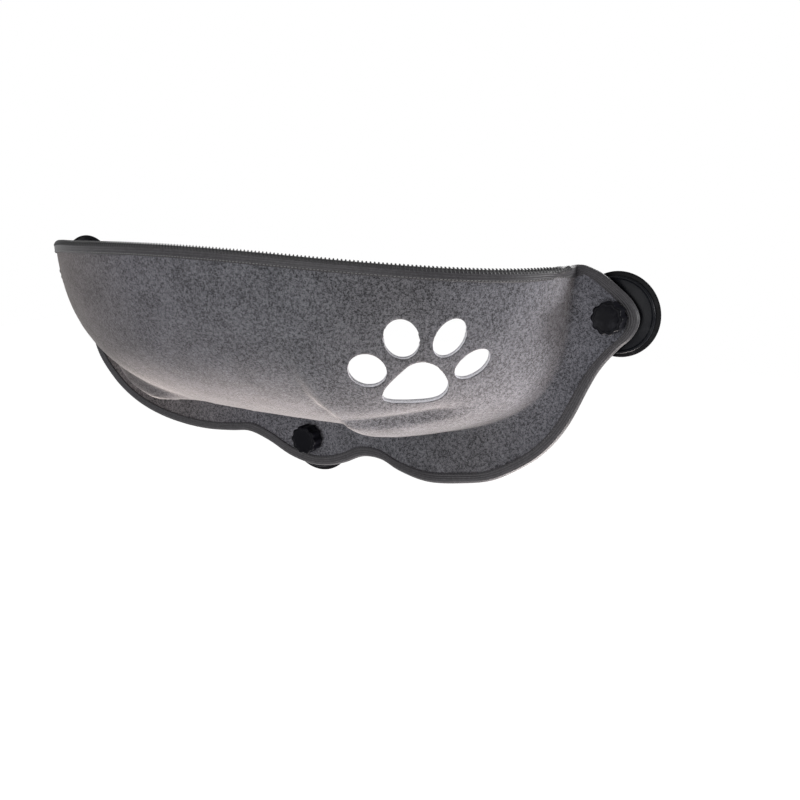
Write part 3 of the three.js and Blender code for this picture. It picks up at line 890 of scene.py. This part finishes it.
class TapePath:
    """Edge of the felt as a loop, with the way in, out and up at each station."""

    def __init__(self, settings):
        width = settings.width
        self.overhang = settings.gap + settings.thickness
        self.radius = FELT / 2 * MM + settings.gap + settings.thickness
        self.reach = self.radius * math.pi / 2 + width - (self.radius - self.overhang)
        rim_start = STATIONS["bottom"] + STATIONS["right"]
        self.rim_ends = rim_start - RIB_OVERRUN, rim_start + STATIONS["rim"] + RIB_OVERRUN
        places = []
        for side, count in STATIONS.items():
            for step in range(count):
                share = step / count
                places.append({
                    "bottom": (share, 0.0), "right": (1.0, share),
                    "rim": (1 - share, 1.0), "left": (0.0, 1 - share),
                }[side])
        inset = width / (FOLD.length * MM)
        self.points, self.inward, self.normals = [], [], []
        for along, up in places:
            moved = inset + along * (1 - 2 * inset)
            low, high = self.inset_shares(moved, width)
            inner = sheet_point(moved, low + up * (high - low))
            edge = sheet_point(along, up)
            self.points.append(edge)
            self.inward.append((inner - edge) / width)
            self.normals.append(sheet_normal(along, up))
        self.inward = self.eased(self.inward, INWARD_EASE)
        self.normals = self.eased(self.normals, NORMAL_EASE)
        self.points = self.eased(self.points, POINT_EASE, False)
        for loop in (self.points, self.inward, self.normals):
            loop.append(loop[0])
        edge = Path(self.points)
        self.lengths, self.length = edge.lengths, edge.length
        self.tangents = []
        for index in range(len(self.points)):
            after = self.points[(index + 1) % (len(self.points) - 1)]
            before = self.points[(index - 1) % (len(self.points) - 1)]
            self.tangents.append((after - before).normalized())

    def eased(self, ways, reach, directions=True):
        """Directions or points, each blended with those that lie near it along the edge."""
        count = len(ways)
        most_steps = 40
        blended = []
        for index, place in enumerate(self.points):
            total, weights = Vector(), 0.0
            for way in (1, -1):
                for step in range(0 if way > 0 else 1, most_steps):
                    other = (index + way * step) % count
                    back = (index - way * step) % count
                    gap = max((self.points[other] - place).length,
                              (self.points[back] - place).length)
                    if gap > 3 * reach:
                        break
                    weight = bell(gap, reach)
                    total += ways[other] * weight
                    weights += weight
            blended.append(total.normalized() * ways[index].length if directions
                           else total / weights)
        return blended

    @staticmethod
    def inset_shares(along, width):
        """Shares up the profile that lie the width in from its two ends."""
        chain = Path([
            sheet_point(along, step / PROFILE_STEPS) for step in range(PROFILE_STEPS + 1)
        ])
        low = bisect.bisect_left(chain.lengths, width)
        high = bisect.bisect_left(chain.lengths, chain.length - width)

        def exact(index, reach):
            span = chain.lengths[index] - chain.lengths[index - 1]
            return (index - 1 + (reach - chain.lengths[index - 1]) / span) / PROFILE_STEPS

        return exact(low, width), exact(high, chain.length - width)

    def skin(self, along, across, height):
        """Point over the tape: along the loop, across from the fold, height off it."""
        index, share = span_at(self.lengths, along % self.length)
        edge = self.points[index].lerp(self.points[index + 1], share)
        inward = self.inward[index].lerp(self.inward[index + 1], share)
        normal = self.normals[index].lerp(self.normals[index + 1], share).normalized()
        tangent = self.tangents[index].lerp(self.tangents[index + 1], share).normalized()
        outward = tangent.cross(normal).normalized()
        centre = edge + inward * (self.radius - self.overhang)
        full = self.radius + height
        quarter = self.radius * math.pi / 2
        if abs(across) < quarter:
            angle = across / self.radius
            return centre + (normal * math.sin(angle) + outward * math.cos(angle)) * full
        side = math.copysign(1.0, across)
        return centre + normal * side * full + inward * (abs(across) - quarter)


class PERCH_OT_edge_binding(bpy.types.Operator):
    """Tape folded over the felt's edge all the way round"""
    bl_idname = "perch.edge_binding"
    bl_label = "Edge binding"

    def execute(self, context):
        settings = context.scene.perch_tape
        path = TapePath(settings)
        bm = bmesh.new()
        uv = bm.loops.layers.uv.new("weave")
        bent_grid(
            bm, *TAPE_FACES,
            lambda along, across: path.skin(
                along * path.length, (across * 2 - 1) * path.reach, 0.0
            ),
        )
        for face in bm.faces:
            for loop in face.loops:
                place = loop[uv].uv
                loop[uv].uv = (place.x * path.length, (place.y * 2 - 1) * path.reach)
        closed_up(bm, 0.00002)
        piece = finished(bm, "binding_tape", tape_material(settings), "perch",
                         sharp=80)
        wall = piece.modifiers.new("thickness", "SOLIDIFY")
        wall.thickness = settings.thickness
        wall.offset = -1
        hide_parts("edge_binding")
        return {"FINISHED"}


# Yarn: its sides, the cuts along it and how thick its ends are beside its middle
YARN_SIDES = 5
YARN_CUTS = 7
YARN_END = 0.35

# Ribs of the tape: how many grow in from each end of the rim, and in radii of a rib how far
# one starts past the fold, rises over it, sinks into the tape and spreads its rise
GROWING_RIBS = 12
RIB_START, RIB_RISE, RIB_SINK, RIB_SPREAD = 0.4, 1.3, 0.3, 2.4

# Stitches: length as a share of their pitch, and lift and dip of the ends in thread radii
STITCH_SHARE = 0.8
STITCH_LIFT, STITCH_DIP = 0.4, 2


def yarn_piece(name, length, radius):
    """Short thread along x with tapered ends, centred on the origin."""
    bm = bmesh.new()
    bmesh.ops.create_cone(
        bm, cap_ends=True, cap_tris=False, segments=YARN_SIDES, radius1=radius, radius2=radius,
        depth=length, matrix=Matrix.Rotation(math.pi / 2, 4, "Y"),
    )
    walls = [edge for edge in bm.edges if edge.calc_length() > length * 0.9]
    bmesh.ops.subdivide_edges(bm, edges=walls, cuts=YARN_CUTS)
    for vert in bm.verts:
        share = (1 - min(1.0, abs(2 * vert.co.x / length)) ** 4) ** 0.5
        vert.co.yz *= YARN_END + (1 - YARN_END) * share
    mesh = bpy.data.meshes.new(name)
    bm.to_mesh(mesh)
    bm.free()
    return mesh


def repeated(shape, bends):
    """Mesh with a copy of the shape for each bend, its vertices moved by that bend."""
    bm = bmesh.new()
    for bend in bends:
        count = len(bm.verts)
        bm.from_mesh(shape)
        bm.verts.ensure_lookup_table()
        for vert in bm.verts[count:]:
            vert.co = bend(vert.co)
    bpy.data.meshes.remove(shape)
    bmesh.ops.recalc_face_normals(bm, faces=bm.faces)
    return bm


class PERCH_OT_stitching(bpy.types.Operator):
    """Ribs over the tape's fold and the seams along it"""
    bl_idname = "perch.stitching"
    bl_label = "Stitching"

    def execute(self, context):
        settings = context.scene.perch_tape
        path = TapePath(settings)
        first, last = (path.lengths[index] for index in path.rim_ends)
        count = int((last - first) / settings.rib_pitch)

        def rib(index):
            start = first + (last - first) * (index + 0.5) / count
            size = smooth_step(min(index, count - 1 - index) / GROWING_RIBS)
            tip = settings.rib_radius
            middle = settings.rib_length / 2 - RIB_START * tip

            def bend(place):
                across = place.x + middle
                rise = size * RIB_RISE * tip * bell(across, RIB_SPREAD * tip)
                return path.skin(
                    start + place.y + across * settings.rib_slant, across,
                    place.z + rise - RIB_SINK * tip,
                )

            return bend

        ribs = repeated(yarn_piece("rib", settings.rib_length, settings.rib_radius),
                        [rib(index) for index in range(count)])
        rib_piece = finished(ribs, "tape_ribs", thread_material("rib_yarn", settings.rib_color),
                             "perch", sharp=60)
        stitches = int(path.length / settings.stitch_pitch)
        thread = settings.stitch_radius

        def stitch(side, index):
            start = path.length * index / stitches
            seam = side * (path.reach - settings.seam_inset)

            def bend(place):
                dip = STITCH_DIP * (2 * place.x / settings.stitch_pitch) ** 2
                return path.skin(start + place.x, seam + place.y,
                                 place.z + thread * (STITCH_LIFT - dip))

            return bend

        on_rim = [first < path.length * index / stitches < last for index in range(stitches)]
        for name, rim, shade in (("rim_seams", True, settings.thread_color),
                                 ("outline_seams", False, settings.color)):
            seams = repeated(
                yarn_piece("stitch", settings.stitch_pitch * STITCH_SHARE, thread),
                [stitch(side, index) for side in (1, -1) for index in range(stitches)
                 if on_rim[index] == rim],
            )
            finished(seams, name, thread_material(f"{name}_thread", shade),
                                        "perch", sharp=60)
        return {"FINISHED"}


# Cups, clamps and knobs

def to_cup(bm, cup):
    """Turns a piece made about z so that it stands on the glass at its cup."""
    place = Matrix.Translation((cup.x, 0, cup.z)) @ Matrix.Rotation(math.pi / 2, 4, "X")
    bmesh.ops.transform(bm, matrix=place, verts=bm.verts)


def turned(profile, steps=96):
    """Closed lathe about z from pairs of radius and height in millimetres."""
    bm = bmesh.new()
    verts = [bm.verts.new((radius * MM, 0, height * MM)) for radius, height in profile]
    pairs = list(zip(verts, verts[1:]))
    if profile[0][0] > 0:
        pairs.append((verts[-1], verts[0]))
    edges = [bm.edges.new(pair) for pair in pairs]
    bmesh.ops.spin(
        bm, geom=[*verts, *edges], cent=(0, 0, 0), axis=(0, 0, 1), angle=math.tau,
        steps=steps, use_merge=True,
    )
    return closed_up(bm, 0.000001)


def at_cup(bm, side, name, material, body, node, edge=0, sharp=40):
    """Piece that stands at its cup in place of the node, its edges rounded by the width."""
    to_cup(bm, CUPS[side])
    piece = finished(bm, f"{name}_{side}", material, body, sharp)
    if edge:
        bevel = piece.modifiers.new("rounded edges", "BEVEL")
        bevel.width = edge
        bevel.segments = 3
        bevel.limit_method = "ANGLE"
        bevel.angle_limit = math.radians(30)
        bevel.harden_normals = False
    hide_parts(f"{node}_{side}")


# Outlines of the turned pieces: radius and height over the glass in millimetres
DISC = [
    (0, 4.1), (0, 3.2), (12, 2.9), (22, 2.1), (31.6, 0), (35.4, 0), (36, 0.6), (36, 1.4),
    (35.2, 1.75), (33.4, 1.95), (20, 4.6), (13.6, 5.9), (12, 6.6), (9.9, 7.4), (3.35, 7.4),
    (3.35, 6.2), (8.55, 6.2), (8.55, 4.1),
]
CAP = [
    (3.35, 7.7), (10.2, 7.7), (12.3, 6.9), (20, 5.3), (32.3, 2.65), (32.3, 5.2), (31.6, 5.8),
    (30.3, 5.8), (29.7, 4.9), (26, 4.95), (18, 6.3), (13, 7.7), (11.4, 8.7), (9.6, 10.25),
    (3.35, 10.25),
]
EYELET = [
    (3.35, 10.55), (9.2, 10.55), (9.2, 11.05), (6.0, 11.05), (6.0, 15.15), (9.2, 15.15),
    (9.2, 15.65), (3.35, 15.65),
]
WASHER = [(3.35, 15.95), (11.2, 15.95), (11.2, 16.95), (3.35, 16.95)]
INSERT = [(3.35, 17.85), (5.0, 17.85), (5.0, 25.85), (3.35, 25.85)]
STUD_HEAD = [(0, 4.4), (8.2, 4.4), (8.2, 5.9), (3.0, 5.9), (3.0, 9.6), (0, 9.6)]


class PERCH_OT_suction_cups(bpy.types.Operator):
    """Rubber discs on the glass and the plastic caps that press them down"""
    bl_idname = "perch.suction_cups"
    bl_label = "Suction cups"

    def execute(self, context):
        settings = context.scene.perch_cups
        rubber = moulded_material("cup_rubber", settings.rubber_color, (0.03, 0.03, 0.032),
                                  rough=(0.32, 0.48), scale=900.0)
        plastic = moulded_material("cap_plastic", settings.cap_color, (0.03, 0.031, 0.034),
                                   rough=(0.2, 0.34), scale=1500.0, depth=0.00001)
        for side in SIDES:
            at_cup(turned(DISC), side, "cup_rubber", rubber, "perch",
                   "suction_disc", edge=0.0004)
            at_cup(turned(CAP), side, "cap_plastic", plastic, "perch",
                   "pressure_cap", edge=0.0005)
        return {"FINISHED"}


def threaded_stud():
    """Flat-headed stud whose shank carries a six millimetre thread."""
    bm = turned(STUD_HEAD, steps=64)
    bottom, top, pitch = 9.4, 27.05, 1.0
    outer, tooth_depth, tip_length, tip_slope = 3.0, 0.45, 0.8, 0.9

    def place(around, up):
        height = bottom + (top - bottom) * up
        phase = (height / pitch + around) % 1
        tooth = abs(phase * 2 - 1)
        tip = max(0.0, height - top + tip_length) * tip_slope
        radius = outer - tooth_depth * tooth - tip
        angle = around * math.tau
        return Vector((radius * math.cos(angle), radius * math.sin(angle), height)) * MM

    faces_round, faces_up = 28, 170
    shank = bent_grid(bm, faces_round, faces_up, place)
    bmesh.ops.remove_doubles(bm, verts=shank, dist=0.000002)
    open_edges = [edge for edge in bm.edges if edge.is_boundary]
    bmesh.ops.holes_fill(bm, edges=open_edges, sides=0)
    bmesh.ops.recalc_face_normals(bm, faces=bm.faces)
    return bm


class PERCH_OT_clamps(bpy.types.Operator):
    """Threaded studs, the eyelets in the felt and the washers under the knobs"""
    bl_idname = "perch.clamps"
    bl_label = "Clamps"

    def execute(self, context):
        steel = moulded_material("plated_steel", (0.55, 0.56, 0.58), (0.4, 0.4, 0.42),
                                 rough=(0.25, 0.4), scale=600.0, depth=0.00001, metallic=1.0)
        black = moulded_material("blackened_metal", (0.06, 0.06, 0.065), (0.12, 0.12, 0.12),
                                 rough=(0.3, 0.45), scale=700.0, depth=0.00001, metallic=0.9)
        plastic = moulded_material("washer_plastic", (0.018, 0.018, 0.02), (0.03, 0.03, 0.03),
                                   rough=(0.4, 0.55), scale=1500.0)
        for side in SIDES:
            at_cup(threaded_stud(), side, "threaded_stud", steel, "perch",
                   "stud", sharp=30)
            at_cup(turned(EYELET, steps=64), side, "felt_eyelet", black, "perch",
                   "eyelet", edge=0.0002)
            at_cup(turned(WASHER, steps=64), side, "flat_washer", plastic, f"clamp_washer_{side}",
                   "washer", edge=0.0003)
        return {"FINISHED"}


# Knob's skin from its bore round to its face: radius, height and how far the lobes reach
KNOB = [
    (0, 26.3, 0), (5.35, 26.3, 0), (5.35, 17.25, 0), (9.4, 17.25, 0.2), (12.4, 17.25, 1),
    (13.2, 17.45, 1), (13.65, 17.9, 1), (13.8, 18.6, 1), (13.8, 22, 1), (13.8, 26, 1),
    (13.8, 29.6, 1), (13.7, 30.3, 1), (13.35, 30.85, 1), (12.8, 31.15, 1), (12.2, 31.25, 1),
    (11.2, 31.25, 0.9), (10.7, 31.15, 0.7), (10.3, 30.95, 0.4), (9.6, 30.85, 0.1),
    (5, 30.8, 0), (0, 30.8, 0),
]


LOBE_FACES = 14
LOBE_SHARPNESS = 1.3


def scalloped_knob(settings):
    """Knob with scalloped sides, a shallow dished face and a bore for its insert."""
    bm = bmesh.new()
    last = len(KNOB) - 1

    def place(around, along):
        radius, height, reach = KNOB[round(along * last)]
        wave = 0.5 - 0.5 * math.cos(settings.lobes * around * math.tau)
        radius -= reach * settings.lobe_depth / MM * wave ** LOBE_SHARPNESS
        angle = around * math.tau
        return Vector((radius * math.cos(angle), radius * math.sin(angle), height)) * MM

    bent_grid(bm, settings.lobes * LOBE_FACES, last, place)
    return closed_up(bm, 0.00001)


class PERCH_OT_knobs(bpy.types.Operator):
    """Scalloped knobs with their brass inserts"""
    bl_idname = "perch.knobs"
    bl_label = "Knobs"

    def execute(self, context):
        settings = context.scene.perch_cups
        plastic = moulded_material("knob_plastic", settings.knob_color, (0.025, 0.025, 0.03),
                                   rough=(0.3, 0.42), scale=1600.0)
        brass = moulded_material("turned_brass", (0.62, 0.44, 0.17), (0.5, 0.33, 0.12),
                                 rough=(0.25, 0.4), scale=500.0, depth=0.00001, metallic=1.0)
        for side in SIDES:
            at_cup(scalloped_knob(settings), side, "scalloped_knob", plastic,
                   f"clamp_knob_{side}", "knob", sharp=42)
            at_cup(turned(INSERT, steps=48), side, "brass_insert", brass, f"clamp_knob_{side}",
                   "knob_insert", edge=0.0002)
        return {"FINISHED"}


# Stage

# Camera fitted to the photograph: place in metres, turns in radians, sensor width in
# millimetres and shift in sensor widths
CAMERA_PLACE = (0.63712, -0.9473, 0.15153)
CAMERA_TURN, CAMERA_TILT, CAMERA_ROLL = 0.541, -0.224, 0.004
SENSOR_WIDTH = 36
CAMERA_SHIFT = (0.02457, -0.00109)
FLOOR_HALF = 6


def area_lamp(name, place, aim, size, power, color=(1, 1, 1)):
    lamp = bpy.data.lights.new(name, "AREA")
    lamp.shape = "DISK"
    lamp.size = size
    lamp.energy = power
    lamp.color = color
    holder = bpy.data.objects.new(name, lamp)
    holder.location = place
    holder.rotation_euler = (Vector(aim) - Vector(place)).to_track_quat("-Z", "Y").to_euler()
    holder.visible_camera = False
    bpy.context.scene.collection.objects.link(holder)


def seen_directly(tree):
    """One for camera, glossy and transmission rays, else zero."""
    path = tree.nodes.new("ShaderNodeLightPath")
    seen = math_node(tree, "MAXIMUM", path.outputs["Is Camera Ray"],
                     path.outputs["Is Glossy Ray"])
    return math_node(tree, "MAXIMUM", seen, path.outputs["Is Transmission Ray"])


class PERCH_OT_stage(bpy.types.Operator):
    """Pale floor, soft lamps, white surroundings and the camera"""
    bl_idname = "perch.stage"
    bl_label = "Stage"

    def execute(self, context):
        settings = context.scene.perch_stage
        bm = bmesh.new()
        bmesh.ops.create_grid(bm, x_segments=1, y_segments=1, size=FLOOR_HALF)
        bmesh.ops.translate(bm, verts=bm.verts, vec=(0, 0, settings.floor_height))
        mesh = bpy.data.meshes.new("floor")
        bm.to_mesh(mesh)
        bm.free()
        material, tree, shader = new_material("pale_floor")
        shader.inputs["Base Color"].default_value = (0.9, 0.9, 0.9, 1)
        shader.inputs["Roughness"].default_value = 0.9
        shader.inputs["Emission Color"].default_value = (1, 1, 1, 1)
        glow = math_node(tree, "MULTIPLY", seen_directly(tree), settings.floor_glow)
        tree.links.new(glow, shader.inputs["Emission Strength"])
        mesh.materials.append(material)
        floor = bpy.data.objects.new("floor", mesh)
        context.scene.collection.objects.link(floor)

        world = bpy.data.worlds.new("white surroundings")
        world.use_nodes = True
        context.scene.world = world
        tree = world.node_tree
        sky = tree.nodes["Background"]
        sky.inputs["Color"].default_value = (1, 1, 1, 1)
        strength = ranged(tree, seen_directly(tree), 0.0, 1.0, settings.sky_light, 1.0)
        tree.links.new(strength, sky.inputs["Strength"])

        middle = (0.05, -0.08, -0.06)
        area_lamp("front", (0.2, -1.8, 0), middle, 1.2, settings.front_power)
        area_lamp("low right", (0.3, 0, -0.36), (0.15, -0.13, -0.12), 0.2,
                  settings.low_power, (1.0, 0.93, 0.9))
        area_lamp("low back", (0.3, 0.25, -0.5), (0.15, -0.1, -0.1), 0.3,
                  1.5 * settings.low_power, (1.0, 0.9, 0.86))
        area_lamp("right rim", (1.5, 0.55, 0.15), middle, 0.5, settings.rim_power)
        area_lamp("back", (0, 1.6, 0.5), (0, -0.08, -0.06), 1.0, settings.back_power)

        data = bpy.data.cameras.new("camera")
        data.lens = settings.lens
        data.sensor_width = SENSOR_WIDTH
        data.shift_x, data.shift_y = CAMERA_SHIFT
        data.clip_start = 0.01
        camera = bpy.data.objects.new("camera", data)
        camera.matrix_world = (
            Matrix.Translation(CAMERA_PLACE)
            @ Matrix.Rotation(CAMERA_TURN, 4, "Z")
            @ Matrix.Rotation(math.pi / 2 + CAMERA_TILT, 4, "X")
            @ Matrix.Rotation(CAMERA_ROLL, 4, "Z")
        )
        context.scene.collection.objects.link(camera)
        context.scene.camera = camera
        context.scene.view_settings.view_transform = "Standard"
        return {"FINISHED"}


# Settings and panel

def length(name, text, default):
    return bpy.props.FloatProperty(
        name=name, description=text, default=default, min=0.0, precision=5,
        subtype="DISTANCE", unit="LENGTH",
    )


def color(name, text, default):
    return bpy.props.FloatVectorProperty(
        name=name, description=text, default=default, size=3, min=0.0, max=1.0, subtype="COLOR"
    )


def share(name, text, default):
    return bpy.props.FloatProperty(
        name=name, description=text, default=default, min=0.0, max=1.0, subtype="FACTOR"
    )


def power(name, text, default):
    return bpy.props.FloatProperty(
        name=name, description=text, default=default, min=0.0, subtype="POWER", unit="POWER"
    )


class PerchFelt(bpy.types.PropertyGroup):
    thickness: length("Thickness", "Thickness of the felt", FELT * MM)
    fibre_size: length("Fibre size", "Size of the light and dark fibres", 0.00105)
    patch_size: length("Patch size", "Size of the softer patches", 0.022)
    dark_color: color("Dark fibres", "Colour of the dark fibres", (0.02, 0.02, 0.022))
    light_color: color("Light fibres", "Colour of the light fibres", (0.215, 0.213, 0.232))
    # Pale colour of the cut walls: a painted highlight
    edge_highlight_color: color("Cut edge", "Colour of the felt's fibres where it is cut",
                      (0.86, 0.85, 0.9))
    swell: length("Swells", "Height of the felt's soft swells", 0.0008)
    pits: length("Pits", "Depth of the felt's small pits", 0.00012)


class PerchTape(bpy.types.PropertyGroup):
    width: length("Width", "Width of the tape on each face of the felt", 0.008)
    thickness: length("Thickness", "Thickness of the tape", 0.0013)
    gap: length("Gap", "Room between the tape and the felt", 0.0004)
    color: color("Tape", "Colour of the tape", (0.036, 0.034, 0.038))
    rib_color: color("Rib yarn", "Colour of the yarn over the rim", (0.012, 0.012, 0.013))
    thread_color: color("Thread", "Colour of the sewing thread", (0.17, 0.168, 0.165))
    rib_pitch: length("Rib pitch", "Spacing of the ribs along the rim", 0.0032)
    rib_length: length("Rib length", "Length of each rib over the fold", 0.0056)
    rib_radius: length("Rib radius", "Radius of each rib", 0.0008)
    rib_slant: bpy.props.FloatProperty(
        name="Rib slant", description="Run along the edge over the rib's length", default=-0.28
    )
    groove_pitch: length("Groove pitch", "Spacing of the grooves along the tape", 0.0021)
    stitch_pitch: length("Stitch pitch", "Spacing of the stitches", 0.003)
    stitch_radius: length("Stitch radius", "Radius of the sewing thread", 0.00028)
    seam_inset: length("Seam inset", "Distance of the seam from the tape's edge", 0.0014)


class PerchCups(bpy.types.PropertyGroup):
    rubber_color: color("Rubber", "Colour of the suction discs", (0.005, 0.005, 0.006))
    cap_color: color("Caps", "Colour of the pressure caps", (0.0075, 0.008, 0.0105))
    knob_color: color("Knobs", "Colour of the knobs", (0.0032, 0.0032, 0.005))
    lobes: bpy.props.IntProperty(
        name="Lobes", description="Number of lobes round each knob", default=10, min=3
    )
    lobe_depth: length("Lobe depth", "Depth of the scallops", 0.0014)


class PerchStage(bpy.types.PropertyGroup):
    floor_height: bpy.props.FloatProperty(
        name="Floor height", description="Height of the floor", default=-1.25,
        subtype="DISTANCE", unit="LENGTH",
    )
    floor_glow: share("Floor glow", "Light that the floor seems to give to the eye", 0.88)
    sky_light: share("Sky light", "Light from the surroundings on the object", 0.15)
    front_power: power("Front", "Power of the wide lamp before the perch", 18.0)
    low_power: power("Low", "Power of the warm lamps under the pouch", 1.9)
    rim_power: power("Rim", "Power of the lamp beside the right edge", 22.0)
    back_power: power("Back", "Power of the wide lamp behind the glass", 12.0)
    lens: bpy.props.FloatProperty(
        name="Lens", description="Focal length", default=53.973, unit="CAMERA"
    )


GROUPS = {
    "perch_felt": PerchFelt, "perch_tape": PerchTape, "perch_cups": PerchCups,
    "perch_stage": PerchStage,
}
OPERATORS = (
    PERCH_OT_felt_sheet, PERCH_OT_edge_binding, PERCH_OT_stitching, PERCH_OT_suction_cups,
    PERCH_OT_clamps, PERCH_OT_knobs, PERCH_OT_stage,
)


class PERCH_PT_parts(bpy.types.Panel):
    """Pieces of the perch and their sizes"""
    bl_idname = "PERCH_PT_parts"
    bl_label = "Cat perch"
    bl_space_type = "VIEW_3D"
    bl_region_type = "UI"
    bl_category = "Perch"

    def draw(self, context):
        for name, group in GROUPS.items():
            box = self.layout.box()
            for key in group.__annotations__:
                box.prop(getattr(context.scene, name), key)
        for operator in OPERATORS:
            self.layout.operator(operator.bl_idname)


def register():
    for item in (*GROUPS.values(), *OPERATORS, PERCH_PT_parts):
        bpy.utils.register_class(item)
    for name, group in GROUPS.items():
        setattr(bpy.types.Scene, name, bpy.props.PointerProperty(type=group))


def unregister():
    for name in GROUPS:
        delattr(bpy.types.Scene, name)
    for item in (PERCH_PT_parts, *reversed(OPERATORS), *reversed(GROUPS.values())):
        bpy.utils.unregister_class(item)


def main():
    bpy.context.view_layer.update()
    register()
    for call in (
        bpy.ops.perch.felt_sheet, bpy.ops.perch.edge_binding, bpy.ops.perch.stitching,
        bpy.ops.perch.suction_cups, bpy.ops.perch.clamps, bpy.ops.perch.knobs,
        bpy.ops.perch.stage,
    ):
        call()


if __name__ == "__main__":
    main()
